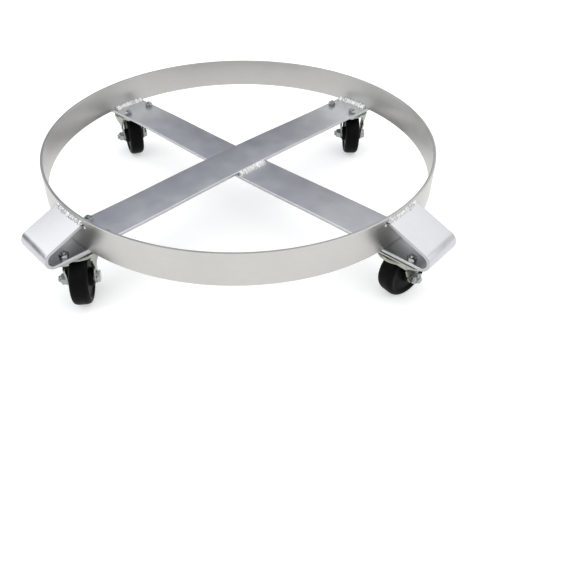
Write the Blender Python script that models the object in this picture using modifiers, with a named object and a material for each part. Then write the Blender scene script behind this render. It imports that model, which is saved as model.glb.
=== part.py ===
"""Drum dolly: a rolled steel hoop on two crossed flat bars, whose front ends are folded into loops,
carried by four swivel casters. Metres, +Z up, floor at z = 0, hoop axis on Z, loops towards -Y."""

import math

import bmesh
import bpy
from mathutils import Matrix, Vector

COLLECTION = "drum_dolly"
GAP = 0.0003

# Hoop
HOOP_RADIUS = 0.305
HOOP_WALL = 0.004
HOOP_BOTTOM = 0.095
HOOP_HEIGHT = 0.050
HOOP_STEPS = 80

# Cross bars
BAR_WIDTH = 0.066
BAR_THICKNESS = 0.005
BAR_MIDDLE = HOOP_BOTTOM - GAP - BAR_THICKNESS / 2
BAR_BACK_REACH = 0.349
CROSS_LIFT = (BAR_THICKNESS + GAP) / 2
CROSS_FLAT = 0.040
CROSS_BEND_END = 0.235
FRONT_SPREAD = math.radians(91.8)
UPPER_BAR_TURN = -math.pi / 2 - FRONT_SPREAD / 2
LOWER_BAR_TURN = -math.pi / 2 + FRONT_SPREAD / 2

# Loop folded from the front end of each bar
UPPER_LOOP_REACH = 0.363
LOWER_LOOP_REACH = 0.369
LOOP_BEND = 0.012
LOOP_SLOPE = math.radians(22)
LOOP_END = HOOP_RADIUS + 0.0013

# Casters
WHEEL_RADIUS = 0.038
WHEEL_HALF = 0.0128
HUB_HALF = 0.0170
HUB_RADIUS = 0.013
TRAIL = 0.0155
AXLE_RADIUS = 0.00475
AXLE_ACROSS_FLATS = 0.0159
BUSHING_RADIUS = 0.0070
FORK_INSIDE = 0.0180
FORK_SHEET = 0.0025
FORK_TOP_SPREAD = 0.0050
FORK_BEND_HEIGHT = 0.054
CROWN_RADIUS = 0.029
CROWN_UNDERSIDE = 0.0791
CROWN_TOP = CROWN_UNDERSIDE + FORK_SHEET
CROWN_LIP = 0.0766
BALL_RING_RADIUS = 0.0145
BALL_RADIUS = 0.0024
BALL_TRACK_RADIUS = 0.0027
KINGPIN_RADIUS = 0.0040

# Caster plate and its bolts
PLATE_LENGTH = 0.092
PLATE_WIDTH = 0.064
PLATE_THICKNESS = 0.0025
PLATE_TOP = BAR_MIDDLE - BAR_THICKNESS / 2 - GAP
PLATE_BOTTOM = PLATE_TOP - PLATE_THICKNESS
CUP_RADIUS = 0.020
CUP_BOTTOM = CROWN_TOP + 0.0030
BALL_HEIGHT = (CUP_BOTTOM + CROWN_TOP) / 2
BOLT_SPACING_LONG = 0.0655
BOLT_SPACING_WIDE = 0.0480
BOLT_RADIUS = 0.0032
BOLT_HOLE = 0.0036
BOLT_ACROSS_FLATS = 0.0111
BOLT_HEAD = 0.0043
BOLT_NUT = 0.0056
BOLT_TIP = 0.0028

# Each caster: direction of its bar end, its kingpin's place along and across it, and where its wheel trails
CASTERS = {
    "front_left": (UPPER_BAR_TURN, 0.300, 0.0, math.radians(-83)),
    "front_right": (LOWER_BAR_TURN, 0.308, -0.002, math.radians(36)),
    "back_left": (LOWER_BAR_TURN + math.pi, 0.300, 0.0, math.radians(-69)),
    "back_right": (UPPER_BAR_TURN + math.pi, 0.300, 0.0, math.radians(-92.4)),
}

COLOURS = {
    "hoop_zinc": ((0.62, 0.62, 0.61), 0.34, 1.0),
    "bar_zinc": ((0.40, 0.41, 0.45), 0.38, 1.0),
    "weld_zinc": ((0.78, 0.78, 0.80), 0.30, 1.0),
    "fastener_zinc": ((0.45, 0.50, 0.53), 0.28, 1.0),
    "caster_zinc": ((0.60, 0.60, 0.50), 0.35, 1.0),
    "bearing_steel": ((0.50, 0.50, 0.50), 0.25, 1.0),
    "black_rubber": ((0.012, 0.012, 0.012), 0.45, 0.0),
}


def clear_scene():
    for obj in list(bpy.data.objects):
        bpy.data.objects.remove(obj, do_unlink=True)


def collection(name):
    made = bpy.data.collections.new(name)
    bpy.context.scene.collection.children.link(made)
    return made


def material(name):
    made = bpy.data.materials.get(name)
    if made:
        return made
    colour, roughness, metallic = COLOURS[name]
    made = bpy.data.materials.new(name)
    made.use_nodes = True
    shader = made.node_tree.nodes["Principled BSDF"]
    shader.inputs["Base Color"].default_value = (*colour, 1)
    shader.inputs["Roughness"].default_value = roughness
    shader.inputs["Metallic"].default_value = metallic
    return made


def polar(radius, angle, height=0.0):
    return Vector((radius * math.cos(angle), radius * math.sin(angle), height))


def arc(centre, radius, start, end, steps):
    """Points of an arc in a plane, both ends included, angles in radians."""
    angles = [start + (end - start) * i / steps for i in range(steps + 1)]
    return [(centre[0] + radius * math.cos(a), centre[1] + radius * math.sin(a)) for a in angles]


class Part:
    """The collections that the named pieces and the hidden cutters go in."""

    pieces = None
    cutters = None


def place(obj, parent, location=(0, 0, 0), rotation=(0, 0, 0)):
    obj.parent = parent
    obj.location = location
    obj.rotation_euler = rotation
    return obj


def piece(name, mesh, finish, parent=None, location=(0, 0, 0), rotation=(0, 0, 0)):
    """A named solid in the part's collection."""
    if not mesh.materials:
        mesh.materials.append(material(finish))
    obj = bpy.data.objects.new(name, mesh)
    Part.pieces.objects.link(obj)
    return place(obj, parent, location, rotation)


def empty(name, parent=None, location=(0, 0, 0), rotation=(0, 0, 0)):
    obj = bpy.data.objects.new(name, None)
    obj.empty_display_size = 0.02
    Part.pieces.objects.link(obj)
    return place(obj, parent, location, rotation)


def mesh_from(name, build):
    """A mesh made by build(bm), with its normals recalculated outwards."""
    bm = bmesh.new()
    build(bm)
    bmesh.ops.recalc_face_normals(bm, faces=bm.faces)
    mesh = bpy.data.meshes.new(name)
    bm.to_mesh(mesh)
    bm.free()
    return mesh


def prism(bm, outline, thickness):
    """Extrudes a closed outline of (x, z) points by thickness, centred on y = 0."""
    corners = [bm.verts.new((x, -thickness / 2, z)) for x, z in outline]
    face = bm.faces.new(corners)
    grown = bmesh.ops.extrude_face_region(bm, geom=[face])["geom"]
    moved = [v for v in grown if isinstance(v, bmesh.types.BMVert)]
    bmesh.ops.translate(bm, verts=moved, vec=(0, thickness, 0))


def screw(obj, steps):
    """Turns the object's profile round Z."""
    turn = obj.modifiers.new("Screw", "SCREW")
    turn.steps = steps
    turn.render_steps = steps
    turn.use_merge_vertices = True
    turn.merge_threshold = 0.00002
    turn.use_smooth_shade = False


def turned(name, profile, steps, finish, parent=None, location=(0, 0, 0), rotation=(0, 0, 0)):
    """A closed ring-shaped solid from a closed (radius, height) profile."""

    def build(bm):
        points = [bm.verts.new((r, 0, z)) for r, z in profile]
        for first, second in zip(points, points[1:] + points[:1]):
            bm.edges.new((first, second))

    obj = piece(name, mesh_from(name, build), finish, parent, location, rotation)
    screw(obj, steps)
    return obj


def cutter(name, build, parent=None, location=(0, 0, 0), rotation=(0, 0, 0)):
    """A hidden solid that another piece is cut or joined with."""
    obj = bpy.data.objects.new(name, mesh_from(name, build))
    Part.cutters.objects.link(obj)
    obj.hide_render = True
    obj.display_type = "WIRE"
    return place(obj, parent, location, rotation)


def boolean(obj, other, operation):
    step = obj.modifiers.new(operation.title(), "BOOLEAN")
    step.operation = operation
    step.object = other
    step.solver = "EXACT"


def bake(obj):
    """Applies the modifiers by swapping in the evaluated mesh."""
    bpy.context.view_layer.update()
    evaluated = obj.evaluated_get(bpy.context.evaluated_depsgraph_get())
    mesh = bpy.data.meshes.new_from_object(evaluated)
    obj.modifiers.clear()
    obj.data = mesh
    return mesh


def shade_round(mesh, limit=math.radians(32)):
    mesh.shade_smooth()
    mesh.set_sharp_from_angle(angle=limit)


def rod(bm, radius, low, high, sides, turn=0.0, middle=(0, 0)):
    """A cylinder or, with few sides, a hexagon prism, along Z."""
    made = bmesh.ops.create_cone(
        bm, cap_ends=True, segments=sides, radius1=radius, radius2=radius, depth=high - low
    )["verts"]
    bmesh.ops.rotate(bm, verts=made, cent=(0, 0, 0), matrix=Matrix.Rotation(turn, 3, "Z"))
    bmesh.ops.translate(bm, verts=made, vec=(*middle, (low + high) / 2))


def across_corners(across_flats):
    return across_flats / math.sqrt(3)


def make_hoop():
    inside = HOOP_RADIUS - HOOP_WALL
    top = HOOP_BOTTOM + HOOP_HEIGHT
    ease = 0.0007
    profile = [
        (inside + ease, top),
        (HOOP_RADIUS - ease, top),
        (HOOP_RADIUS, top - ease),
        (HOOP_RADIUS, HOOP_BOTTOM + ease),
        (HOOP_RADIUS - ease, HOOP_BOTTOM),
        (inside + ease, HOOP_BOTTOM),
        (inside, HOOP_BOTTOM + ease),
        (inside, top - ease),
    ]
    turned("hoop", profile, HOOP_STEPS, "hoop_zinc")


def bar_lift(reach, side):
    """Height of a flexed bar's middle above its ends; side is 1 for the upper bar and -1 for the lower."""
    away = min(max((abs(reach) - CROSS_FLAT) / (CROSS_BEND_END - CROSS_FLAT), 0), 1)
    return side * CROSS_LIFT * (1 + math.cos(math.pi * away)) / 2


def bar_path(side, loop_reach):
    """Middle line of a bar in its own plane, from the back end, along and round the loop, to the hoop."""
    nose = loop_reach - BAR_THICKNESS / 2 - LOOP_BEND
    steps = 24
    reaches = [-BAR_BACK_REACH + (nose + BAR_BACK_REACH) * i / steps for i in range(steps)]
    path = [(r, BAR_MIDDLE + bar_lift(r, side)) for r in reaches]
    path += arc((nose, BAR_MIDDLE + LOOP_BEND), LOOP_BEND, -math.pi / 2, math.pi / 2 - LOOP_SLOPE, 8)
    bend_x, bend_z = path[-1]
    end_x = LOOP_END
    path.append((end_x, bend_z + (bend_x - end_x) * math.tan(LOOP_SLOPE)))
    return path


def make_bar(name, turn, side, loop_reach, kingpins):
    """A flat bar bent along its path: the path drawn out to the bar's width, then thickened."""

    def build(bm):
        rows = []
        for x, z in bar_path(side, loop_reach):
            rows.append([bm.verts.new((x, w * BAR_WIDTH / 2, z)) for w in (-1, 1)])
        for near, far in zip(rows, rows[1:]):
            bm.faces.new((near[0], near[1], far[1], far[0]))

    obj = piece(name, mesh_from(name, build), "bar_zinc", rotation=(0, 0, turn))
    shell = obj.modifiers.new("Thickness", "SOLIDIFY")
    shell.thickness = BAR_THICKNESS
    shell.offset = 0
    shell.use_even_offset = True

    def holes(bm):
        for along, across in kingpins:
            for x, y in bolt_places():
                middle = (along + x, across + y)
                rod(bm, BOLT_HOLE, BAR_MIDDLE - 0.006, BAR_MIDDLE + 0.006, 12, middle=middle)

    boolean(obj, cutter(name + "_holes", holes, rotation=(0, 0, turn)), "DIFFERENCE")
    bake(obj)


def bolt_places():
    return [
        (x * BOLT_SPACING_LONG / 2, y * BOLT_SPACING_WIDE / 2) for x in (-1, 1) for y in (-1, 1)
    ]


def make_crossing_weld():
    """A straight fillet in the corner between the upper bar's edge and the lower bar's top."""
    leg = 0.0048
    corner = BAR_MIDDLE - CROSS_LIFT + BAR_THICKNESS / 2 + GAP
    edge = BAR_WIDTH / 2 + GAP
    section = [(edge, corner), (edge + leg, corner), (edge, corner + leg)]
    mesh = mesh_from("crossing_weld", lambda bm: prism(bm, section, 0.058))
    piece("crossing_weld", mesh, "weld_zinc", rotation=(0, 0, UPPER_BAR_TURN + math.pi / 2))


def curved_weld(name, section, turn, half_width):
    """A three-sided fillet that follows the hoop: section holds (radius, height) points."""
    sweep = 2 * math.asin(half_width / HOOP_RADIUS)

    def build(bm):
        corners = [bm.verts.new((*polar(r, -sweep / 2).xy, z)) for r, z in section]
        face = bm.faces.new(corners)
        bmesh.ops.spin(
            bm, geom=[face], cent=(0, 0, 0), axis=(0, 0, 1), angle=sweep, steps=8, use_duplicate=False
        )
        bmesh.ops.remove_doubles(bm, verts=bm.verts, dist=0.000001)

    piece(name, mesh_from(name, build), "weld_zinc", rotation=(0, 0, turn))


def make_bar_weld(name, turn):
    """The weld between the hoop's inner wall and a bar's back end."""
    wall = HOOP_RADIUS - HOOP_WALL - GAP
    low = HOOP_BOTTOM
    curved_weld(name, [(wall, low), (wall - 0.006, low), (wall, low + 0.0055)], turn, 0.029)


def make_loop_weld(name, turn, loop_reach):
    """The weld between the hoop's outer wall and the end of a loop's sloped top."""
    wall = HOOP_RADIUS + GAP
    top = bar_path(1, loop_reach)[-1][1] + BAR_THICKNESS / 2 / math.cos(LOOP_SLOPE)
    lift = 0.0012
    reach = 0.0055
    section = [
        (wall, top + lift),
        (wall + reach, top + lift - reach * math.tan(LOOP_SLOPE)),
        (wall, top + 0.0050),
    ]
    curved_weld(name, section, turn, 0.0305)


def make_plate(name, parent):
    """Mounting plate with rounded corners, four bolt holes and the upper ball track."""

    def slab(bm):
        corner = 0.006
        inset_x = PLATE_LENGTH / 2 - corner
        inset_y = PLATE_WIDTH / 2 - corner
        outline = []
        for quarter, (x, y) in enumerate(((1, 1), (-1, 1), (-1, -1), (1, -1))):
            start = quarter * math.pi / 2
            outline += arc((x * inset_x, y * inset_y), corner, start, start + math.pi / 2, 3)
        base = bm.faces.new([bm.verts.new((x, y, PLATE_BOTTOM)) for x, y in outline])
        grown = bmesh.ops.extrude_face_region(bm, geom=[base])["geom"]
        moved = [v for v in grown if isinstance(v, bmesh.types.BMVert)]
        bmesh.ops.translate(bm, verts=moved, vec=(0, 0, PLATE_THICKNESS))

    track = arc((BALL_RING_RADIUS, BALL_HEIGHT), BALL_TRACK_RADIUS, *track_angles(1), 3)
    top = PLATE_BOTTOM + 0.001
    bore = KINGPIN_RADIUS + GAP
    core = bore / 2
    profile = [(core, top), (CUP_RADIUS, top), (CUP_RADIUS, CUP_BOTTOM), *track, (core, CUP_BOTTOM)]
    obj = piece(name, mesh_from(name, slab), "caster_zinc", parent)
    cup = hidden_turned(name + "_cup", profile, 18, parent)
    boolean(obj, cup, "UNION")

    def holes(bm):
        rod(bm, bore, CUP_BOTTOM - 0.002, PLATE_TOP + 0.002, 18)
        for middle in bolt_places():
            rod(bm, BOLT_HOLE, PLATE_BOTTOM - 0.002, PLATE_TOP + 0.002, 12, middle=middle)

    boolean(obj, cutter(name + "_holes", holes, parent), "DIFFERENCE")
    bake(obj)


def hidden_turned(name, profile, steps, parent):
    """A turned solid used only as the other half of a Boolean."""
    obj = turned(name, profile, steps, "caster_zinc", parent)
    bake(obj)
    Part.pieces.objects.unlink(obj)
    Part.cutters.objects.link(obj)
    obj.hide_render = True
    obj.display_type = "WIRE"
    return obj


def track_angles(side):
    """Start and end angle of a ball track's groove, on the cup above (1) or the crown below (-1)."""
    lean = math.asin((CUP_BOTTOM - BALL_HEIGHT) / BALL_TRACK_RADIUS)
    return (lean, math.pi - lean) if side > 0 else (math.pi + lean, 2 * math.pi - lean)


def make_ball_ring(name, parent):
    section = arc((BALL_RING_RADIUS, BALL_HEIGHT), BALL_RADIUS, math.pi / 2, -3 * math.pi / 2, 6)[:-1]
    turned(name, section, 18, "bearing_steel", parent)


def make_kingpin(name, parent):
    """A headed pin, flush in the plate above and headed below the fork's crown."""
    profile = [
        (0, PLATE_TOP),
        (KINGPIN_RADIUS, PLATE_TOP),
        (KINGPIN_RADIUS, 0.0777),
        (0.0068, 0.0777),
        (0.0062, 0.0764),
        (0, 0.0764),
    ]

    def build(bm):
        points = [bm.verts.new((r, 0, z)) for r, z in profile]
        for first, second in zip(points, points[1:]):
            bm.edges.new((first, second))

    obj = piece(name, mesh_from(name, build), "bearing_steel", parent)
    screw(obj, 12)


def make_retainer(name, parent):
    """The dished washer that the kingpin's lower head holds under the crown."""
    bore = KINGPIN_RADIUS + GAP
    top = CROWN_UNDERSIDE - GAP
    profile = [(bore, top), (0.0105, top), (0.0105, top - 0.0008), (bore, top - 0.0008)]
    turned(name, profile, 12, "bearing_steel", parent)


def make_fork(name, parent):
    """The fork: a dished crown with the lower ball track, and two legs that close in to the hub."""
    track = arc((BALL_RING_RADIUS, BALL_HEIGHT), BALL_TRACK_RADIUS, *track_angles(-1), 3)
    bore = KINGPIN_RADIUS + 2 * GAP
    shoulder = 0.0215
    rim_top = CROWN_TOP - 0.0016
    profile = [
        (bore, CROWN_TOP),
        *track,
        (shoulder, CROWN_TOP),
        (CROWN_RADIUS, rim_top),
        (CROWN_RADIUS, CROWN_LIP),
        (CROWN_RADIUS - FORK_SHEET, CROWN_LIP),
        (CROWN_RADIUS - FORK_SHEET, CROWN_UNDERSIDE - 0.0008),
        (CROWN_RADIUS - 2 * FORK_SHEET, CROWN_UNDERSIDE),
        (bore, CROWN_UNDERSIDE),
    ]
    obj = turned(name, profile, 20, "caster_zinc", parent)
    for side in (-1, 1):
        leg = cutter(f"{name}_leg_{side}", lambda bm: build_leg(bm, side), parent)
        boolean(obj, leg, "UNION")

    def axle_hole(bm):
        rod(bm, AXLE_RADIUS + GAP, -0.04, 0.04, 12)

    hole = cutter(
        name + "_axle_hole", axle_hole, parent, (TRAIL, 0, WHEEL_RADIUS), (math.pi / 2, 0, 0)
    )
    boolean(obj, hole, "DIFFERENCE")
    bake(obj)
    return obj


def leg_outline():
    """Side view of a fork leg: wide at the crown, curving in to a round boss at the axle."""
    boss = 0.0098
    top = CROWN_UNDERSIDE + 0.001
    back = [(-0.0165, top), (-0.0165, 0.0752)]
    sweep = [(-0.0105, 0.0655), (-0.0035, 0.0560), (0.0028, 0.0460)]
    round_end = arc((TRAIL, WHEEL_RADIUS), boss, math.radians(165), math.radians(372), 7)
    front = [(0.0262, 0.0540), (0.0240, 0.0660), (0.0190, 0.0752), (0.0175, top)]
    return back + sweep + round_end + front


def build_leg(bm, side):
    """Cuts the leg at its bend line and leans the upper part out to the crown's rim."""
    prism(bm, leg_outline(), FORK_SHEET)
    bmesh.ops.bisect_plane(
        bm, geom=[*bm.verts, *bm.edges, *bm.faces], plane_co=(0, 0, FORK_BEND_HEIGHT), plane_no=(0, 0, 1)
    )
    lean = FORK_TOP_SPREAD / (CROWN_UNDERSIDE - FORK_BEND_HEIGHT)
    middle = FORK_INSIDE + FORK_SHEET / 2
    for vert in bm.verts:
        spread = max(vert.co.z - FORK_BEND_HEIGHT, 0) * lean
        vert.co.y = side * (middle + spread) + vert.co.y


def wheel_profile():
    """Closed profile of the moulded wheel: hub, recessed side, rounded shoulder and tread."""
    bore = BUSHING_RADIUS + GAP
    half = [
        (bore, HUB_HALF),
        (HUB_RADIUS, HUB_HALF),
        (HUB_RADIUS, 0.0105),
        (0.0290, 0.0105),
        (0.0338, WHEEL_HALF),
        (0.0366, 0.0108),
        (WHEEL_RADIUS, 0.0068),
    ]
    return half + [(r, -z) for r, z in reversed(half)]


def make_wheel(name, parent):
    turned(name, wheel_profile(), 32, "black_rubber", parent, rotation=(math.pi / 2, 0, 0))


def make_bushing(name, parent):
    bore = AXLE_RADIUS + GAP
    half = FORK_INSIDE - GAP
    profile = [(bore, half), (BUSHING_RADIUS, half), (BUSHING_RADIUS, -half), (bore, -half)]
    turned(name, profile, 12, "bearing_steel", parent, rotation=(math.pi / 2, 0, 0))


def axle_bolt_mesh():
    """Hex head, shank and domed end along Z, the head at the top."""
    seat = FORK_INSIDE + FORK_SHEET + GAP
    name = "axle_bolt"
    shank = cutter(name + "_shank", lambda bm: rod(bm, AXLE_RADIUS, -0.0318, seat + 0.003, 12))
    radius = across_corners(AXLE_ACROSS_FLATS)
    head = cutter(name + "_head", lambda bm: rod(bm, radius, seat, seat + 0.0046, 6))
    boolean(shank, head, "UNION")
    return bake(shank)


def axle_nut_mesh():
    """Hex nut with a collar, along -Z from the fork's leg."""
    seat = FORK_INSIDE + FORK_SHEET + GAP
    radius = across_corners(AXLE_ACROSS_FLATS)
    nut = cutter("axle_nut_hex", lambda bm: rod(bm, radius, -seat - 0.0068, -seat, 6))
    collar = cutter("axle_nut_collar", lambda bm: rod(bm, 0.0069, -seat - 0.0086, -seat - 0.004, 12))
    bore = cutter("axle_nut_bore", lambda bm: rod(bm, AXLE_RADIUS + GAP, -seat - 0.02, -seat + 0.02, 12))
    boolean(nut, collar, "UNION")
    boolean(nut, bore, "DIFFERENCE")
    return bake(nut)


def mounting_bolt_mesh():
    """A hex bolt with its nut run on: head under the plate, nut and thread end above the bar."""
    under = PLATE_BOTTOM - GAP
    above = BAR_MIDDLE + BAR_THICKNESS / 2 + GAP
    end = above + BOLT_NUT + BOLT_TIP
    radius = across_corners(BOLT_ACROSS_FLATS)
    shank = cutter("mounting_bolt_shank", lambda bm: rod(bm, BOLT_RADIUS, under - 0.002, end, 8))
    head = cutter("mounting_bolt_head", lambda bm: rod(bm, radius, under - BOLT_HEAD, under, 6))
    nut = cutter("mounting_bolt_nut", lambda bm: rod(bm, radius, above, above + BOLT_NUT, 6))
    boolean(shank, head, "UNION")
    boolean(shank, nut, "UNION")
    return bake(shank)


def kingpin_on_bar(name, end):
    """Place of a caster's kingpin in its bar's own frame; end is 1 at the front and -1 at the back."""
    _, along, across, _ = CASTERS[name]
    return end * along, end * across


def make_caster(name, bolt, axle_bolt, axle_nut):
    turn, along, across, trail_turn = CASTERS[name]
    kingpin = polar(along, turn) + polar(across, turn + math.pi / 2)
    base = empty(name + "_base", None, kingpin, (0, 0, turn))
    make_plate(name + "_plate", base)
    make_ball_ring(name + "_ball_ring", base)
    make_kingpin(name + "_kingpin", base)
    make_retainer(name + "_retainer", base)
    for number, (x, y) in enumerate(bolt_places(), 1):
        spin = math.radians(17 * number)
        piece(f"{name}_bolt_{number}", bolt, "fastener_zinc", base, (x, y, 0), (0, 0, spin))
    swivel = empty(name + "_swivel_axis", None, kingpin, (0, 0, trail_turn))
    make_fork(name + "_fork", swivel)
    axle = empty(name + "_axle_axis", swivel, (TRAIL, 0, WHEEL_RADIUS))
    make_wheel(name + "_wheel", axle)
    make_bushing(name + "_bushing", axle)
    lying = (-math.pi / 2, 0, 0)
    piece(name + "_axle_bolt", axle_bolt, "fastener_zinc", axle, rotation=lying)
    piece(name + "_axle_nut", axle_nut, "fastener_zinc", axle, rotation=lying)


def main():
    clear_scene()
    Part.pieces = collection(COLLECTION)
    Part.cutters = collection("cutters")
    make_hoop()
    upper = kingpin_on_bar("front_left", 1), kingpin_on_bar("back_right", -1)
    lower = kingpin_on_bar("front_right", 1), kingpin_on_bar("back_left", -1)
    make_bar("upper_cross_bar", UPPER_BAR_TURN, 1, UPPER_LOOP_REACH, upper)
    make_bar("lower_cross_bar", LOWER_BAR_TURN, -1, LOWER_LOOP_REACH, lower)
    make_crossing_weld()
    make_bar_weld("back_right_bar_weld", UPPER_BAR_TURN + math.pi)
    make_bar_weld("back_left_bar_weld", LOWER_BAR_TURN + math.pi)
    make_loop_weld("front_left_loop_weld", UPPER_BAR_TURN, UPPER_LOOP_REACH)
    make_loop_weld("front_right_loop_weld", LOWER_BAR_TURN, LOWER_LOOP_REACH)
    shared = (mounting_bolt_mesh(), axle_bolt_mesh(), axle_nut_mesh())
    for name in CASTERS:
        make_caster(name, *shared)
    for obj in Part.pieces.objects:
        if obj.type == "MESH":
            shade_round(obj.data)


main()
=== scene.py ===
"""Studio scene of the drum dolly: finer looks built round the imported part. Metres, +Z up, the same
frame as the part. Every piece here rides on one body and stands for the CAD nodes it replaces."""

import math

import bmesh
import bpy
from mathutils import Matrix, Vector


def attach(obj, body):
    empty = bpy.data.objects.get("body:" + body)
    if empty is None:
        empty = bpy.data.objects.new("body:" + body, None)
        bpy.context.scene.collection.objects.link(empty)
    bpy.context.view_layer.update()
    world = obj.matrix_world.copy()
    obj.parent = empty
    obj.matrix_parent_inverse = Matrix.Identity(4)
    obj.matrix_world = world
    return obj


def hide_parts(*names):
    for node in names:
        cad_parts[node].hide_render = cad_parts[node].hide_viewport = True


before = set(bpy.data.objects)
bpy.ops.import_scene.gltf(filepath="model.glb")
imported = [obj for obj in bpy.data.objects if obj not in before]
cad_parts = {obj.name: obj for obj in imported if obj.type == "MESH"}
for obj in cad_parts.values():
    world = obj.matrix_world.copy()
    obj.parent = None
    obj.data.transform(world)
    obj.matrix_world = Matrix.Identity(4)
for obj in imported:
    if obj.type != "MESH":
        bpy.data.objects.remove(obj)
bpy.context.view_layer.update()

PI = math.pi

# Sizes shared with the part
HOOP_RADIUS = 0.305
HOOP_WALL = 0.004
HOOP_BOTTOM = 0.095
HOOP_TOP = 0.145
BAR_WIDTH = 0.066
BAR_THICKNESS = 0.005
BAR_MIDDLE = 0.0922
BAR_BACK_REACH = 0.349
CROSS_LIFT = 0.00265
CROSS_FLAT = 0.040
CROSS_BEND_END = 0.235
FRONT_SPREAD = math.radians(91.8)
UPPER_BAR_TURN = -PI / 2 - FRONT_SPREAD / 2
LOWER_BAR_TURN = -PI / 2 + FRONT_SPREAD / 2
UPPER_LOOP_REACH = 0.363
LOWER_LOOP_REACH = 0.369
LOOP_BEND = 0.012
LOOP_SLOPE = math.radians(22)
LOOP_END = HOOP_RADIUS + 0.0010
WHEEL_RADIUS = 0.038
TRAIL = 0.0155
FORK_SHEET = 0.0025
FORK_INSIDE = 0.0180
CROWN_RADIUS = 0.029
PLATE_LENGTH = 0.092
PLATE_WIDTH = 0.064
PLATE_TOP = 0.0894
PLATE_BOTTOM = 0.0869
BOLT_SPACING_LONG = 0.0655
BOLT_SPACING_WIDE = 0.0480
BOLT_RADIUS = 0.0032
BOLT_ACROSS_FLATS = 0.0111
BOLT_HEAD = 0.0043
BOLT_NUT = 0.0056
BOLT_TIP = 0.0028
AXLE_RADIUS = 0.00475
AXLE_ACROSS_FLATS = 0.0159
AXLE_HEAD = 0.0048
AXLE_NUT = 0.0066
AXLE_REACH = 0.0318
# Each caster: its bar's turn, its place along and across the bar, and the way it trails
CASTERS = {
    "front_left": (UPPER_BAR_TURN, 0.300, 0.0, math.radians(-83)),
    "front_right": (LOWER_BAR_TURN, 0.308, -0.002, math.radians(36)),
    "back_left": (LOWER_BAR_TURN + PI, 0.300, 0.0, math.radians(-69)),
    "back_right": (UPPER_BAR_TURN + PI, 0.300, 0.0, math.radians(-92.4)),
}

# Finer sizes of the shown pieces
UP = Vector((0, 0, 1))
HOOP_EDGE = 0.0007
BAR_EDGE = 0.0014
# Threads of the bolts: pitch and depth
BOLT_THREAD = (0.00127, 0.0005)
AXLE_THREAD = (0.0015, 0.0006)
# Weld beads: the ripples, how deep the root sits in the metal, the rings along a bead on the hoop,
# each bead's width and height, and its length from the middle to either end
BEAD_PITCH = 0.0021
BEAD_RIPPLE = 0.00055
BEAD_ROOT = 0.0008
BEAD_STEPS = 150
CROSSING_BEAD = (0.0062, 0.0052)
CROSSING_BEAD_STEPS = 170
CROSSING_BEAD_REACH = 0.029
BAR_END_BEAD = (0.0062, 0.0058)
BAR_END_BEAD_REACH = 0.0305
LOOP_BEAD = (0.0036, 0.0044)
LOOP_BEAD_REACH = 0.0325
# The drop beside each loop's bead: its angle round the hoop from the bar's middle, its place below
# the loop's upper face, and its half sizes
DROP_ANGLE = 0.117
DROP_BELOW = 0.0045
DROP_SIZE = (0.0012, 0.0024, 0.0017)
# Heights of the plate's race, the fork's crown, and where the fork's legs leave the crown
RACE_BOTTOM = 0.0846
CROWN_TOP = 0.08035
LEG_TOP = 0.0762
# The balls: their number, the circle they run on, its height, and their size
BALL_COUNT = 17
BALL_CIRCLE = 0.0145
BALL_HEIGHT = 0.0831
BALL_RADIUS = 0.0024


# ---------------------------------------------------------------- materials


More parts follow.
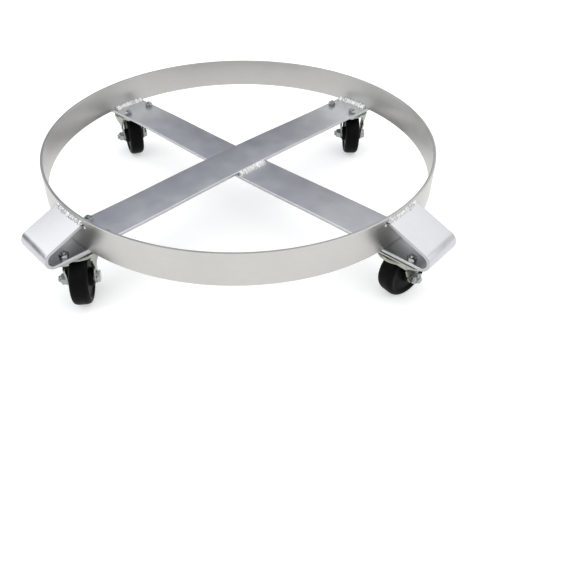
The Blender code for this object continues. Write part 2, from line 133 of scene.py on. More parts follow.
class Nodes:
    """Short calls for building the node tree of a new material or world."""

    def __init__(self, name, kind=bpy.data.materials, shader="Principled BSDF"):
        self.owner = kind.new(name)
        self.owner.use_nodes = True
        self.tree = self.owner.node_tree
        self.shader = self.tree.nodes[shader]

    def add(self, kind, inputs=None, **settings):
        node = self.tree.nodes.new(kind)
        for key, value in settings.items():
            setattr(node, key, value)
        for key, value in (inputs or {}).items():
            self.put(node.inputs[key], value)
        return node

    def put(self, socket, value):
        if isinstance(value, bpy.types.NodeSocket):
            self.tree.links.new(value, socket)
        else:
            socket.default_value = value

    def place(self, scale):
        """The piece's own coordinates, stretched."""
        coordinate = self.add("ShaderNodeTexCoord").outputs["Object"]
        return self.add("ShaderNodeMapping", {"Vector": coordinate, "Scale": scale}).outputs[0]

    def noise(self, scale, detail, roughness, stretch=(1, 1, 1)):
        where = self.place(stretch)
        inputs = {"Vector": where, "Scale": scale, "Detail": detail, "Roughness": roughness}
        return self.add("ShaderNodeTexNoise", inputs).outputs[0]

    def span(self, value, low, high, from_low=0.3, from_high=0.7, smooth=False):
        """The value, from from_low..from_high to low..high."""
        inputs = {"Value": value, "From Min": from_low, "From Max": from_high}
        inputs |= {"To Min": low, "To Max": high}
        kind = "SMOOTHSTEP" if smooth else "LINEAR"
        return self.add("ShaderNodeMapRange", inputs, interpolation_type=kind).outputs[0]

    def ramp(self, value, *stops):
        """Colours at places along the value."""
        node = self.add("ShaderNodeValToRGB", {"Fac": value})
        elements = node.color_ramp.elements
        while len(elements) < len(stops):
            elements.new(0.5)
        for element, (place, colour) in zip(elements, stops):
            element.position = place
            element.color = (*colour, 1)
        return node.outputs[0]

    def mix(self, share, first, second):
        """The first colour at share 0, the second at 1. Sockets 6 and 7 are the node's colours."""
        node = self.add("ShaderNodeMix", data_type="RGBA")
        for key, value in ((0, share), (6, first), (7, second)):
            if isinstance(value, tuple):
                value = (*value, 1)
            self.put(node.inputs[key], value)
        return node.outputs[2]

    def sum(self, first, second):
        return self.add("ShaderNodeMath", {0: first, 1: second}, operation="ADD").outputs[0]

    def side_facing(self):
        """How far the surface faces along the piece's own Y, either way: 1 at its narrow sides. It masks
        the painted shade on those sides.
        """
        normal = self.add("ShaderNodeTexCoord").outputs["Normal"]
        across = self.add("ShaderNodeSeparateXYZ", {"Vector": normal}).outputs["Y"]
        return self.add("ShaderNodeMath", {0: across}, operation="ABSOLUTE").outputs[0]

    def bump(self, height, depth, normal=None):
        inputs = {"Height": height, "Distance": depth, "Strength": 1.0}
        if normal:
            inputs["Normal"] = normal
        return self.add("ShaderNodeBump", inputs).outputs[0]

    def finish(self, **sockets):
        for key, value in sockets.items():
            self.put(self.shader.inputs[key.replace("_", " ")], value)
        return self.owner


def shade(colour, factor):
    return tuple(min(c * factor, 1.0) for c in colour)


def zinc(name, colour, roughness, grain, grain_depth, mottle, blotch, edge=0.0):
    """Zinc-plated steel: cloudy mottling, rolling lines along the stock, pin marks and dulled patches.
    Edge says how much painted shade darkens the stock's narrow sides, which face along Y."""
    n = Nodes(name)
    clouds = n.noise(blotch, 5, 0.62)
    lines = n.noise(60, 3, 0.5, grain)
    specks = n.noise(900, 2, 0.5)
    dark, light = shade(colour, 1 - mottle), shade(colour, 1 + mottle)
    base = n.ramp(clouds, (0.30, dark), (0.52, colour), (0.74, light))
    base = n.mix(n.span(lines, 0.0, 0.22), base, shade(colour, 0.80))
    base = n.mix(n.span(specks, 0.0, 0.35, 0.66, 0.78), base, shade(colour, 0.62))
    # Painted shade: the stock's narrow sides, which face along Y, are darkened by the share edge
    if edge:
        base = n.mix(n.span(n.side_facing(), 0.0, edge, 0.55, 0.85), base, shade(colour, 0.45))
    rough = n.sum(n.span(clouds, roughness - 0.05, roughness + 0.06), n.span(lines, -0.03, 0.04))
    normal = n.bump(lines, grain_depth)
    normal = n.bump(specks, 0.000012, normal)
    return n.finish(Base_Color=base, Roughness=rough, Normal=normal, Metallic=1.0)


def weld_metal(name, colour):
    """Weld metal under the plating: bright crests, darker toes and scattered scale."""
    n = Nodes(name)
    scale = n.noise(420, 5, 0.7)
    patches = n.noise(110, 3, 0.6)
    base = n.ramp(scale, (0.30, shade(colour, 0.28)), (0.48, colour), (0.72, shade(colour, 1.15)))
    base = n.mix(n.span(patches, 0.0, 0.5, 0.45, 0.70), base, shade(colour, 0.55))
    rough = n.span(scale, 0.26, 0.48)
    normal = n.bump(scale, 0.00016)
    return n.finish(Base_Color=base, Roughness=rough, Normal=normal, Metallic=1.0)


def chromated(name, colour, tint, roughness):
    """Pressed sheet under a thin chromate film that shifts towards the tint in patches."""
    n = Nodes(name)
    clouds = n.noise(70, 4, 0.6)
    film = n.noise(24, 2, 0.5)
    scuffs = n.noise(300, 3, 0.6, (1, 1, 5))
    base = n.ramp(film, (0.36, colour), (0.52, shade(colour, 1.08)), (0.66, tint))
    base = n.mix(n.span(clouds, 0.0, 0.28), base, shade(colour, 0.74))
    rough = n.sum(n.span(clouds, roughness - 0.05, roughness + 0.07), n.span(scuffs, -0.03, 0.05))
    normal = n.bump(scuffs, 0.00003)
    return n.finish(Base_Color=base, Roughness=rough, Normal=normal, Metallic=1.0)


def oiled_steel(name):
    """Bearing steel with turning marks under a film of oil."""
    n = Nodes(name)
    film = n.noise(160, 4, 0.6)
    turning = n.noise(120, 2, 0.5, (1, 1, 14))
    stained, oiled, bright = (0.24, 0.22, 0.20), (0.42, 0.41, 0.40), (0.52, 0.52, 0.53)
    base = n.ramp(film, (0.32, stained), (0.55, oiled), (0.72, bright))
    rough = n.span(film, 0.20, 0.36)
    normal = n.bump(turning, 0.00001)
    return n.finish(Base_Color=base, Roughness=rough, Normal=normal, Metallic=1.0)


def hard_rubber(name):
    """Satin black moulded rubber with a fine moulded grain, faint dust and small scuffs."""
    n = Nodes(name)
    grain = n.noise(1500, 3, 0.6)
    dust = n.noise(55, 5, 0.65)
    scuffs = n.noise(210, 4, 0.7)
    clean, worn = (0.0028, 0.0031, 0.0028), (0.0042, 0.0046, 0.0042)
    dusty, scuffed = (0.011, 0.011, 0.010), (0.016, 0.016, 0.015)
    base = n.ramp(dust, (0.35, clean), (0.60, worn), (0.80, dusty))
    base = n.mix(n.span(scuffs, 0.0, 0.45, 0.62, 0.80), base, scuffed)
    rough = n.sum(n.span(dust, 0.34, 0.50), n.span(scuffs, -0.03, 0.08))
    normal = n.bump(grain, 0.000025)
    normal = n.bump(scuffs, 0.00003, normal)
    return n.finish(Base_Color=base, Roughness=rough, Normal=normal, Specular_IOR_Level=0.04)


def pale_floor(name):
    """A white table lit from below, so that shadows stay faint."""
    n = Nodes(name)
    tone = n.noise(3, 3, 0.5)
    base = n.ramp(tone, (0.3, (0.66, 0.66, 0.66)), (0.7, (0.68, 0.68, 0.68)))
    glow = {"Emission_Color": (1, 1, 1, 1), "Emission_Strength": 0.4}
    return n.finish(Base_Color=base, Roughness=0.8, **glow)


FINISHES = {
    "hoop_zinc": zinc("hoop_zinc", (0.515, 0.508, 0.488), 0.36, (1, 1, 40), 0.000012, 0.05, 16),
    # The bars' last number, 0.30, is painted shade on their narrow sides
    "bar_zinc": zinc("bar_zinc", (0.55, 0.555, 0.57), 0.34, (1, 26, 26), 0.00002, 0.07, 22, 0.30),
    "weld_zinc": weld_metal("weld_zinc", (0.66, 0.66, 0.66)),
    "fastener_zinc": zinc("fastener_zinc", (0.355, 0.375, 0.375), 0.17, (1, 1, 3), 0.00001, 0.26, 180),
    "caster_zinc": chromated("caster_zinc", (0.34, 0.35, 0.315), (0.34, 0.33, 0.27), 0.26),
    "bearing_steel": oiled_steel("bearing_steel"),
    "black_rubber": hard_rubber("black_rubber"),
}


# ---------------------------------------------------------------- mesh tools


def piece(name, mesh, finish, body, nodes, matrix=Matrix.Identity(4)):
    """A shown piece in a finish, riding on a body, in place of CAD nodes."""
    obj = bpy.data.objects.new(name, mesh)
    bpy.context.scene.collection.objects.link(obj)
    obj.matrix_world = matrix
    if not mesh.materials:
        mesh.materials.append(FINISHES[finish])
    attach(obj, body)
    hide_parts(*nodes)
    return obj


def mesh_of(name, build, sharp=32):
    """A mesh made by build(bm), faces turned outwards, smooth except across sharp edges."""
    bm = bmesh.new()
    build(bm)
    bmesh.ops.remove_doubles(bm, verts=bm.verts, dist=0.0000005)
    bmesh.ops.recalc_face_normals(bm, faces=bm.faces)
    mesh = bpy.data.meshes.new(name)
    bm.to_mesh(mesh)
    bm.free()
    mesh.shade_smooth()
    mesh.set_sharp_from_angle(angle=math.radians(sharp))
    return mesh


def skin(bm, rings, caps=False):
    """Quads between rings of points; a ring of one point closes to a tip."""
    rows = [[bm.verts.new(p) for p in ring] for ring in rings]
    for near, far in zip(rows, rows[1:]):
        count = max(len(near), len(far))
        for i in range(count):
            j = (i + 1) % count
            corners = [near[i % len(near)], near[j % len(near)], far[j % len(far)], far[i % len(far)]]
            corners = list(dict.fromkeys(corners))
            if len(corners) > 2:
                bm.faces.new(corners)
    if caps:
        bm.faces.new(rows[0])
        bm.faces.new(rows[-1])


def lathe(bm, profile, steps, closed=True):
    """Turns (radius, height) points round Z. A point may be a function of the angle."""
    rows = list(profile) + ([profile[0]] if closed else [])
    rings = []
    for row in rows:
        ring = []
        for i in range(steps):
            angle = 2 * PI * i / steps
            r, z = row(angle) if callable(row) else row
            ring.append((r * math.cos(angle), r * math.sin(angle), z))
            if r < 1e-7:
                break
        rings.append(ring)
    skin(bm, rings)


def eased(points, radius, steps=3, closed=True):
    """The outline with each corner rounded by about radius."""
    out = []
    count = len(points)
    for i, corner in enumerate(points):
        corner = Vector(corner)
        if not closed and i in (0, count - 1):
            out.append(tuple(corner))
            continue
        before = Vector(points[i - 1]) - corner
        after = Vector(points[(i + 1) % count]) - corner
        first = corner + before.normalized() * min(radius, before.length * 0.45)
        last = corner + after.normalized() * min(radius, after.length * 0.45)
        for k in range(steps + 1):
            t = k / steps
            out.append(tuple(first * (1 - t) ** 2 + corner * 2 * t * (1 - t) + last * t**2))
    return out


def spline(points, steps):
    """A smooth curve through the points."""
    points = [Vector(p) for p in points]
    ends = [2 * points[0] - points[1], *points, 2 * points[-1] - points[-2]]
    out = []
    for a, b, c, d in zip(ends, ends[1:], ends[2:], ends[3:]):
        for k in range(steps):
            t = k / steps
            squared = (2 * a - 5 * b + 4 * c - d) * t**2
            cubed = (3 * b - a - 3 * c + d) * t**3
            out.append(0.5 * (2 * b + (c - a) * t + squared + cubed))
    return [*out, points[-1]]


def arc(centre, radius, start, end, steps):
    """Points round a centre from one angle to another."""
    angles = [start + (end - start) * i / steps for i in range(steps + 1)]
    return [(centre[0] + radius * math.cos(a), centre[1] + radius * math.sin(a)) for a in angles]


def smooth(t):
    """From 0 at t = 0 to 1 at t = 1, level at both ends."""
    t = min(max(t, 0), 1)
    return t * t * (3 - 2 * t)


def ripple(value):
    """A triangle wave from 0 to 1 with a period of 1."""
    return abs((value % 1) * 2 - 1)


def turned(angle):
    """A turn about Z."""
    return Matrix.Rotation(angle, 4, "Z")


def hexagon(flats, low, high, bore=0.0):
    """Lathe rows of a hex nut or head with chamfered corners, from the bottom face to the top."""
    apothem = flats / 2
    flat_circle = apothem * 0.97
    chamfer = 0.55

    def corner(angle):
        return apothem / math.cos((angle + PI / 6) % (PI / 3) - PI / 6)

    def edge(height, inward):
        return lambda a: (corner(a), height + inward * max(corner(a) - flat_circle, 0) * chamfer)

    bottom, top = [(bore, low), (flat_circle, low)], [(flat_circle, high), (bore, high)]
    return [*bottom, edge(low, 1), edge(high, -1), *top]


def thread(radius, low, high, pitch, depth):
    """Lathe rows of a screw thread with a chamfered end at the top."""
    count = int((high - low) / (pitch / 4))
    rows = []
    for i in range(count + 1):
        z = low + (high - low) * i / count
        fade = min(1, (high - z) / pitch)

        def row(angle, z=z, fade=fade):
            return radius - depth * (1 - fade) - depth * ripple(z / pitch - angle / (2 * PI)) * fade, z

        rows.append(row)
    return rows


# ---------------------------------------------------------------- hoop and bars


def build_hoop(bm):
    """The rolled strip, its edges eased."""
    inside = HOOP_RADIUS - HOOP_WALL
    corners = [
        (inside, HOOP_TOP),
        (HOOP_RADIUS, HOOP_TOP),
        (HOOP_RADIUS, HOOP_BOTTOM),
        (inside, HOOP_BOTTOM),
    ]
    lathe(bm, eased(corners, HOOP_EDGE, 3), 240)


def bar_lift(reach, side):
    """How far a bar is flexed up (side 1) or down (side -1) where it passes the other one."""
    away = min(max((abs(reach) - CROSS_FLAT) / (CROSS_BEND_END - CROSS_FLAT), 0), 1)
    return side * CROSS_LIFT * (1 + math.cos(PI * away)) / 2


def bar_path(side, loop_reach):
    """Middle line of a bar, from its back end, along, round the loop and up to the hoop."""
    nose = loop_reach - BAR_THICKNESS / 2 - LOOP_BEND
    steps = 90
    reaches = [-BAR_BACK_REACH + (nose + BAR_BACK_REACH) * i / steps for i in range(steps)]
    path = [(r, BAR_MIDDLE + bar_lift(r, side)) for r in reaches]
    path += arc((nose, BAR_MIDDLE + LOOP_BEND), LOOP_BEND, -PI / 2, PI / 2 - LOOP_SLOPE, 28)
    bend_x, bend_z = path[-1]
    for i in range(1, 9):
        x = bend_x + (LOOP_END - bend_x) * i / 8
        path.append((x, bend_z + (bend_x - x) * math.tan(LOOP_SLOPE)))
    return path


def build_bar(bm, side, loop_reach):
    """Flat bar swept along its path, its edges eased as hot-rolled stock has them."""
    half_w, half_t = BAR_WIDTH / 2, BAR_THICKNESS / 2
    corners = [(-half_w, -half_t), (half_w, -half_t), (half_w, half_t), (-half_w, half_t)]
    section = eased(corners, BAR_EDGE, 4)
    path = [Vector(p) for p in bar_path(side, loop_reach)]
    rings = []
    for i, here in enumerate(path):
        ahead = path[min(i + 1, len(path) - 1)] - path[max(i - 1, 0)]
        ahead.normalize()
        normal = Vector((-ahead.y, ahead.x))
        rings.append([(here.x + normal.x * h, w, here.y + normal.y * h) for w, h in section])
    skin(bm, rings, caps=True)


# ---------------------------------------------------------------- welds


def bead(bm, path, size, blobs=()):
    """A rippled fillet. path holds (point, out): the bead fills the corner between out and up.
    size is its width and height. blobs holds (place from 0 to 1, swelling, spread)."""
    width, height = size
    lengths = [0.0]
    for (a, _), (b, _) in zip(path, path[1:]):
        lengths.append(lengths[-1] + (b - a).length)
    total = lengths[-1]
    across = 12
    rings = []
    for (point, out), along in zip(path, lengths):
        share = along / total
        end = min(1, math.sqrt(max(min(along, total - along), 0) / (width * 0.5)) + 0.08)
        swell = end * (1 + sum(s * math.exp(-(((share - p) / w) ** 2)) for p, s, w in blobs))
        lumps = 0.15 * math.sin(along * 1190 + 1.6 * math.sin(along * 270))
        swell *= 1 + 0.06 * math.sin(along * 610) + lumps
        ring = []
        for k in range(across + 1):
            t = k / across * PI / 2
            lag = 0.0013 * math.sin(2 * t)
            wave = 0
            if 0 < k < across:
                wave = ripple((along + lag) / BEAD_PITCH) * BEAD_RIPPLE * math.sin(2 * t) ** 0.5
            bulge = 1 - 0.17 * math.sin(2 * t)
            a = math.cos(t) * width * swell * bulge - wave * math.cos(t)
            b = math.sin(t) * height * swell * bulge - wave * math.sin(t)
            ring.append(point + out * a + UP * b)
        ring.append(point - out * BEAD_ROOT - UP * BEAD_ROOT)
        rings.append(ring)
    skin(bm, rings, caps=True)


def ring_path(radius, height, reach, out):
    """Bead path along the hoop's wall; out is 1 away from the axis and -1 towards it."""
    sweep = math.asin(reach / radius)
    path = []
    for i in range(BEAD_STEPS + 1):
        angle = sweep * (2 * i / BEAD_STEPS - 1)
        direction = Vector((math.cos(angle), math.sin(angle), 0))
        path.append((direction * radius + Vector((0, 0, height)), direction * out))
    return path


def spatter(bm, middle):
    """A frozen drop of weld metal beside the end of a bead."""
    at = Matrix.Translation(middle) @ Matrix.Diagonal((*DROP_SIZE, 1))
    drop = bmesh.ops.create_icosphere(bm, subdivisions=3, radius=1, matrix=at)["verts"]
    for vert in drop:
        vert.co.y += 0.0004 * math.sin(vert.co.z * 2600)


def loop_end_height(side, loop_reach):
    """Height of a loop's upper face where it meets the hoop."""
    return bar_path(side, loop_reach)[-1][1] + BAR_THICKNESS / 2 / math.cos(LOOP_SLOPE)


def make_hoop_and_bars():
    upper, lower = turned(UPPER_BAR_TURN), turned(LOWER_BAR_TURN)
    piece("hoop_strip", mesh_of("hoop_strip", build_hoop), "hoop_zinc", "frame", ["hoop"])
    for name, turn, side, reach in (
        ("upper_cross_bar", upper, 1, UPPER_LOOP_REACH),
        ("lower_cross_bar", lower, -1, LOWER_LOOP_REACH),
    ):
        mesh = mesh_of(name, lambda bm: build_bar(bm, side, reach), 50)
        piece(name + "_stock", mesh, "bar_zinc", "frame", [name], turn)


def weld(name, build, node, *places):
    """One bead mesh, shown at each (name, matrix) of places. Node is the end of the node's name."""
    mesh = mesh_of(name, build, 60)
    for shown, place in places:
        piece(shown + "_bead", mesh, "weld_zinc", "frame", [shown + node], place)


def make_welds():
    """The beads where the bars cross, at the bars' back ends and on top of the loops."""
    upper, lower = turned(UPPER_BAR_TURN), turned(LOWER_BAR_TURN)
    corner_z = BAR_MIDDLE - CROSS_LIFT + BAR_THICKNESS / 2
    line = []
    for i in range(CROSSING_BEAD_STEPS + 1):
        share = 2 * i / CROSSING_BEAD_STEPS - 1
        point = Vector((BAR_WIDTH / 2, CROSSING_BEAD_REACH * share, corner_z))
        line.append((point, Vector((1, 0, 0))))
    across = upper @ turned(PI / 2)
    weld("crossing_bead", lambda bm: bead(bm, line, CROSSING_BEAD), "_weld", ("crossing", across))

    bar_top = BAR_MIDDLE + BAR_THICKNESS / 2
    inner = ring_path(HOOP_RADIUS - HOOP_WALL, bar_top, BAR_END_BEAD_REACH, -1)
    ends = ("back_right", upper @ turned(PI)), ("back_left", lower @ turned(PI))
    weld("bar_end_bead", lambda bm: bead(bm, inner, BAR_END_BEAD), "_bar_weld", *ends)

    for name, turn, side, reach in (
        ("front_left", upper, 1, UPPER_LOOP_REACH),
        ("front_right", lower, -1, LOWER_LOOP_REACH),
    ):
        height = loop_end_height(side, reach)
        outer = ring_path(HOOP_RADIUS, height - 0.0008, LOOP_BEAD_REACH, 1)
        blobs = ((0.5 + 0.46 * side, 0.30, 0.05), (0.5 - 0.20 * side, 0.15, 0.08))
        drop = turned(side * DROP_ANGLE) @ Vector((HOOP_RADIUS, 0, height - DROP_BELOW))

        def build(bm):
            bead(bm, outer, LOOP_BEAD, blobs)
            spatter(bm, drop)

        weld(name + "_bead", build, "_loop_weld", (name, turn))


# ---------------------------------------------------------------- fasteners


def build_mounting_bolt(bm):
    """Hex head under the plate, nut on the bar, and the thread end above the nut."""
    under = PLATE_BOTTOM
    above = BAR_MIDDLE + BAR_THICKNESS / 2
    top = above + BOLT_NUT + BOLT_TIP
    lathe(bm, hexagon(BOLT_ACROSS_FLATS, under - BOLT_HEAD, under), 36, closed=False)
    lathe(bm, hexagon(BOLT_ACROSS_FLATS, above, above + BOLT_NUT, BOLT_RADIUS + 0.0001), 36)
    shank = [(0.0, under - 0.001), (BOLT_RADIUS, under - 0.001), (BOLT_RADIUS, above)]
    lathe(bm, shank, 24, closed=False)
    rows = thread(BOLT_RADIUS, above + 0.003, top, *BOLT_THREAD)
    lathe(bm, [(0.0, above + 0.003), *rows, (0.0, top)], 24, closed=False)


def build_axle_bolt(bm):
    """Flanged hex head at the top of Z, plain shank, thread end."""
    seat = FORK_INSIDE + FORK_SHEET
    lathe(bm, hexagon(AXLE_ACROSS_FLATS, seat + 0.0006, seat + AXLE_HEAD), 36, closed=False)
    rim = [(0.0088, seat), (0.0088, seat + 0.0006), (0.0078, seat + 0.0011)]
    flange = [(0.0, seat), *rim, (0.0, seat + 0.0011)]
    lathe(bm, eased(flange, 0.0003, 2, closed=False), 36, closed=False)
    low, high = -seat - 0.002, seat + 0.001
    shank = [(0.0, high), (AXLE_RADIUS, high), (AXLE_RADIUS, low), (0.0, low)]
    lathe(bm, shank, 24, closed=False)
    rows = thread(AXLE_RADIUS, 0, AXLE_REACH - seat, *AXLE_THREAD)

    def flipped(row):
        return lambda a: (row(a)[0], -seat - row(a)[1])

    lathe(bm, [(0.0, -seat), *map(flipped, rows), (0.0, -AXLE_REACH)], 24, closed=False)


def build_axle_nut(bm):
    """Locking nut along -Z: washer face, hexagon and a rolled collar over the insert."""
    seat = FORK_INSIDE + FORK_SHEET
    low, high = -seat - AXLE_NUT, -seat
    lathe(bm, hexagon(AXLE_ACROSS_FLATS, low, high - 0.0003, 0.0048), 36)
    collar = [(0.0050, low + 0.001), (0.0067, low + 0.001)]
    collar += [(0.0067, low - 0.0014), (0.0052, low - 0.0019)]
    lathe(bm, eased(collar, 0.0005, 3), 36)


# ---------------------------------------------------------------- casters


def build_plate(bm):
    """Top plate with rounded corners and edges, and the upper race pressed out of it."""
    corners = [(0.0, PLATE_TOP), (0.0012, PLATE_TOP), (0.0012, PLATE_BOTTOM), (0.0, PLATE_BOTTOM)]
    section = eased(corners, 0.0005, 2)
    edge = [(x, z) for x, z in section if x > 0.0001]
    rings = []
    for inset, z in [(0.004, PLATE_TOP), *edge, (0.004, PLATE_BOTTOM)]:
        grow = inset - 0.0012 if inset < 0.002 else -0.004
        corner = max(0.006 + grow, 0.002)
        long = PLATE_LENGTH / 2 + grow - corner
        wide = PLATE_WIDTH / 2 + grow - corner
        ring = []
        for quarter, (x, y) in enumerate(((1, 1), (-1, 1), (-1, -1), (1, -1))):
            start = quarter * PI / 2
            ring += [(*p, z) for p in arc((x * long, y * wide), corner, start, start + PI / 2, 7)]
        rings.append(ring)
    skin(bm, rings, caps=True)
    race = [
        (0.0043, PLATE_BOTTOM + 0.001),
        (0.0225, PLATE_BOTTOM + 0.001),
        (0.0205, PLATE_BOTTOM - 0.0008),
        (0.0200, RACE_BOTTOM),
        (0.0176, RACE_BOTTOM),
        (0.0160, RACE_BOTTOM + 0.001),
        (0.0130, RACE_BOTTOM + 0.001),
        (0.0114, RACE_BOTTOM),
        (0.0043, RACE_BOTTOM),
    ]
    lathe(bm, eased(race, 0.0008, 3), 64)


def build_balls(bm):
    """The loose balls between the plate's race and the crown's."""
    for i in range(BALL_COUNT):
        angle = 2 * PI * i / BALL_COUNT
        x, y = BALL_CIRCLE * math.cos(angle), BALL_CIRCLE * math.sin(angle)
        at = Matrix.Translation((x, y, BALL_HEIGHT))
        bmesh.ops.create_uvsphere(bm, u_segments=14, v_segments=8, radius=BALL_RADIUS, matrix=at)


def build_kingpin(bm):
    """Rivet: flush above, domed and peened below the crown."""
    pin = [(0.0, 0.0893), (0.0040, 0.0893), (0.0040, 0.0775)]
    dome = [(0.0068, 0.0775), (0.0066, 0.0768), (0.0045, 0.0762)]
    lathe(bm, [*eased(pin + dome, 0.0004, 3, closed=False), (0.0, 0.0760)], 32, closed=False)


def build_retainer(bm):
    """Dished washer under the crown."""
    above = [(0.0043, 0.0788), (0.0090, 0.0788), (0.0106, 0.0784)]
    below = [(0.0106, 0.0777), (0.0088, 0.0779), (0.0043, 0.0779)]
    lathe(bm, eased(above + below, 0.0003, 2), 40)


def fork_outline():
    """Lower edge of one side of the fork: from the crown's lip in front, round the boss, to the back."""
    lip = [(0.0222, 0.0765), (0.0213, 0.0742), (0.0228, 0.0680)]
    front = [(0.0250, 0.0600), (0.0257, 0.0500), (0.0253, 0.0410)]
    boss = arc((TRAIL, WHEEL_RADIUS), 0.0098, math.radians(0), math.radians(-165), 12)
    back = [(0.0054, 0.0400), (0.0030, 0.0470), (-0.0020, 0.0560)]
    shoulder = [(-0.0090, 0.0645), (-0.0165, 0.0718), (-0.0218, 0.0765)]
    return spline([*lip, *front, *boss, *back, *shoulder], 6)


def fork_side(x, z):
    """How far the sheet's middle is from the fork's centre plane: round above, flat at the hub."""
    middle_radius = CROWN_RADIUS - FORK_SHEET / 2
    spread = 0.0046 * smooth((z - 0.047) / 0.030)
    flat = FORK_INSIDE + FORK_SHEET / 2 + spread
    round_ = math.sqrt(max(middle_radius**2 - x * x, 0))
    share = smooth((z - 0.058) / (LEG_TOP - 0.058))
    return flat + (round_ - flat) * share


def fork_columns():
    """Angles round the crown with each one's lower end (x, z), for one half."""
    middle_radius = CROWN_RADIUS - FORK_SHEET / 2
    outline = fork_outline()
    first = math.acos(outline[0].x / middle_radius)
    last = math.acos(outline[-1].x / middle_radius)
    columns = [(first * i / 6, None) for i in range(1, 6)]
    count = 44
    for i in range(count + 1):
        place = i / count * (len(outline) - 1)
        low = min(int(place), len(outline) - 2)
        end = outline[low].lerp(outline[low + 1], place - low)
        columns.append((first + (last - first) * i / count, end))
    return columns + [(last + (PI - last) * i / 6, None) for i in range(1, 6)]


def build_fork(bm):
    """One pressed sheet: crown with the lower race, rolled rim, and two legs drawn down from it."""
    crown = [
        (0.0046, CROWN_TOP),
        (0.0114, CROWN_TOP),
        (0.0130, 0.0793),
        (0.0160, 0.0793),
        (0.0177, CROWN_TOP),
        (0.0225, 0.0802),
        (0.0258, 0.0795),
    ]
    crown = eased(crown, 0.0012, 3, closed=False)
    rim_radius, rim_top, rim_bottom = CROWN_RADIUS - FORK_SHEET / 2, 0.0783, 0.0766
    half = fork_columns()
    columns = [(0.0, None, 1), *[(a, e, 1) for a, e in half]]
    columns += [(PI, None, 1), *[(a, e, -1) for a, e in reversed(half)]]
    rings = [[(r * math.cos(a), s * r * math.sin(a), z) for a, _, s in columns] for r, z in crown]
    rings.append([(0.0271 * math.cos(a), s * 0.0271 * math.sin(a), 0.0790) for a, _, s in columns])
    rows = 26
    for j in range(rows + 1):
        t = j / rows
        ring = []
        for angle, end, side in columns:
            x, z = rim_radius * math.cos(angle), rim_top
            if end is None:
                z += (rim_bottom - z) * t
                ring.append((x, side * rim_radius * math.sin(angle), z))
            else:
                x += (end.x - x) * t
                z += (end.y - z) * t
                ring.append((x, side * fork_side(x, z), z))
        rings.append(ring)
    skin(bm, rings)


def thicken(obj, thickness, edge):
    """Gives the sheet its thickness and eased edges."""
    shell = obj.modifiers.new("Sheet", "SOLIDIFY")
    shell.thickness = thickness
    shell.offset = 0
    ease = obj.modifiers.new("Ease", "BEVEL")
    ease.width = edge
    ease.segments = 2
    ease.limit_method = "ANGLE"
    ease.angle_limit = math.radians(55)


def build_wheel(bm):
    """Moulded wheel: tread with round shoulders, rim ring, dished web and hub."""
    half = [
        (0.0073, 0.0170),
        (0.0122, 0.0170),
        (0.0131, 0.0158),
        (0.0137, 0.0108),
        (0.0280, 0.0101),
        (0.0292, 0.0124),
        (0.0335, 0.0128),
        (0.0368, 0.0105),
        (0.0380, 0.0066),
    ]
    profile = half + [(r, -z) for r, z in reversed(half)]
    lathe(bm, eased(profile, 0.0016, 4), 96)


def build_bushing(bm):
    """Steel sleeve between the fork's legs, round the axle bolt."""
    half = FORK_INSIDE - 0.0003
    corners = [(0.00505, half), (0.0070, half), (0.0070, -half), (0.00505, -half)]
    lathe(bm, eased(corners, 0.0004, 2), 32)


def make_casters():
    bolt = mesh_of("mounting_bolt", build_mounting_bolt, 28)
    axle_bolt = mesh_of("axle_bolt", build_axle_bolt, 28)
    axle_nut = mesh_of("axle_nut", build_axle_nut, 28)
    plate = mesh_of("plate", build_plate)
    balls = mesh_of("balls", build_balls, 80)
    kingpin = mesh_of("kingpin", build_kingpin)
    retainer = mesh_of("retainer", build_retainer)
    fork = mesh_of("fork", build_fork, 60)
    wheel = mesh_of("wheel", build_wheel, 40)
    bushing = mesh_of("bushing", build_bushing)
    for name, (turn, along, across, trail_turn) in CASTERS.items():
        base = turned(turn) @ Matrix.Translation((along, across, 0))
        swivel = Matrix.Translation(base.translation) @ turned(trail_turn)
        hub = swivel @ Matrix.Translation((TRAIL, 0, WHEEL_RADIUS))
        axle = hub @ Matrix.Rotation(-PI / 2, 4, "X")
        piece(name + "_top_plate", plate, "caster_zinc", "frame", [name + "_plate"], base)
        piece(name + "_balls", balls, "bearing_steel", "frame", [name + "_ball_ring"], base)
        piece(name + "_rivet", kingpin, "bearing_steel", "frame", [name + "_kingpin"], base)
        piece(name + "_washer", retainer, "bearing_steel", "frame", [name + "_retainer"], base)
        for number, (x, y) in enumerate([(-1, -1), (-1, 1), (1, -1), (1, 1)], 1):
            place = (x * BOLT_SPACING_LONG / 2, y * BOLT_SPACING_WIDE / 2, 0)
            at = base @ Matrix.Translation(place) @ turned(math.radians(17 * number))
            node = f"{name}_bolt_{number}"
            piece(node + "_set", bolt, "fastener_zinc", "frame", [node], at)
        swivelling = name + "_swivel"
        obj = piece(name + "_yoke", fork, "caster_zinc", swivelling, [name + "_fork"], swivel)
        thicken(obj, FORK_SHEET, 0.0004)
        piece(name + "_axle", axle_bolt, "fastener_zinc", swivelling, [name + "_axle_bolt"], axle)
        piece(name + "_lock_nut", axle_nut, "fastener_zinc", swivelling, [name + "_axle_nut"], axle)
        piece(name + "_sleeve", bushing, "bearing_steel", swivelling, [name + "_bushing"], axle)
        piece(name + "_tyre", wheel, "black_rubber", name + "_wheel", [name + "_wheel"], axle)


# ---------------------------------------------------------------- stage


WALLS = (0.55, 0.56, 0.57)
BACK_FLAG = (0.10, 0.105, 0.115)
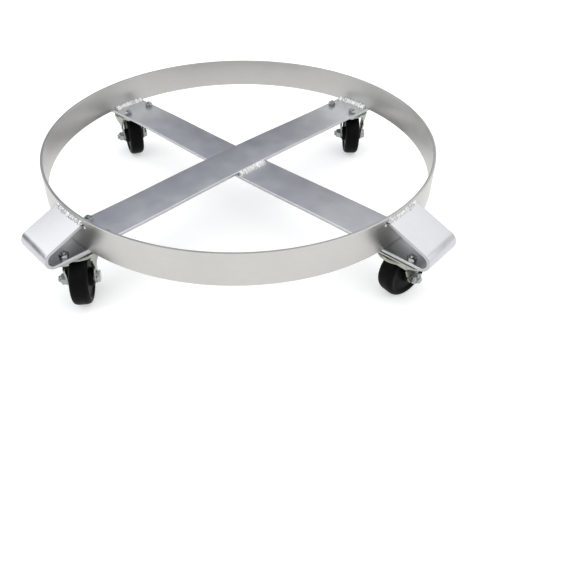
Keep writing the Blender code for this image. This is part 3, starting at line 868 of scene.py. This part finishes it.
# Round cards that hang about the stage, a later one in front of those before it: the light, the way
# to the card's middle, and the angles from the middle where its even part and its soft edge end
CARDS = (
    ((1.6, 1.6, 1.6), (0, 0, 1), 42, 66),  # ceiling
    ((1.95, 1.96, 1.97), (-0.68, 0.39, 0.61), 20, 34),  # left softbox
    ((1.60, 1.60, 1.61), (0.66, 0.39, 0.65), 20, 34),  # right softbox
    ((0.82, 0.82, 0.81), (0.97, 0.05, 0.12), 22, 40),  # right wall
    ((3.60, 3.70, 3.86), (-0.885, -0.24, 0.40), 11, 20),  # left lamp
    ((2.30, 2.36, 2.46), (0.86, -0.30, 0.41), 9, 21),  # right lamp
    ((0.08, 0.08, 0.08), (-0.98, 0.12, 0.06), 16, 30),  # dark flag on the left
    ((0.46, 0.48, 0.545), (-0.25, 0.83, 0.50), 16, 37),  # back wall
    (BACK_FLAG, (0.58, 0.81, -0.04), 16, 30),
    (BACK_FLAG, (-0.58, 0.81, -0.04), 16, 30),
    (BACK_FLAG, (0, 1, 0), 14, 30),
)
LENS = 37.806
SENSOR_WIDTH = 36
LENS_SHIFT = (0.0851, -0.1684)
CAMERA_PLACE = (0.02398, -0.85499, 0.59875)
CAMERA_TURN = (56.459, 0.883, 0.991)


def make_floor():
    mesh = mesh_of("floor", lambda bm: bmesh.ops.create_grid(bm, x_segments=1, y_segments=1, size=9))
    floor = bpy.data.objects.new("floor", mesh)
    bpy.context.scene.collection.objects.link(floor)
    mesh.materials.append(pale_floor("floor_paint"))


def make_world():
    """Soft studio light from all round, as the cards give it, over grey walls. The camera itself sees
    plain white beyond the floor."""
    n = Nodes("studio", bpy.data.worlds, "Background")
    direction = n.add("ShaderNodeTexCoord").outputs["Generated"]
    light = WALLS
    for colour, toward, full, edge in CARDS:
        ends = {0: direction, 1: Vector(toward).normalized()}
        facing = n.add("ShaderNodeVectorMath", ends, operation="DOT_PRODUCT").outputs["Value"]
        limits = math.cos(math.radians(edge)), math.cos(math.radians(full))
        light = n.mix(n.span(facing, 0.0, 1.0, *limits, smooth=True), light, colour)
    seen = n.add("ShaderNodeLightPath").outputs["Is Camera Ray"]
    bpy.context.scene.world = n.finish(Color=n.mix(seen, light, (1.0, 1.0, 1.0)))


def make_camera():
    data = bpy.data.cameras.new("camera")
    data.lens = LENS
    data.sensor_width = SENSOR_WIDTH
    data.shift_x, data.shift_y = LENS_SHIFT
    obj = bpy.data.objects.new("camera", data)
    bpy.context.scene.collection.objects.link(obj)
    obj.location = CAMERA_PLACE
    obj.rotation_euler = [math.radians(angle) for angle in CAMERA_TURN]
    bpy.context.scene.camera = obj


def main():
    make_hoop_and_bars()
    make_welds()
    make_casters()
    make_floor()
    make_world()
    make_camera()
    bpy.context.scene.view_settings.view_transform = "Standard"


main()
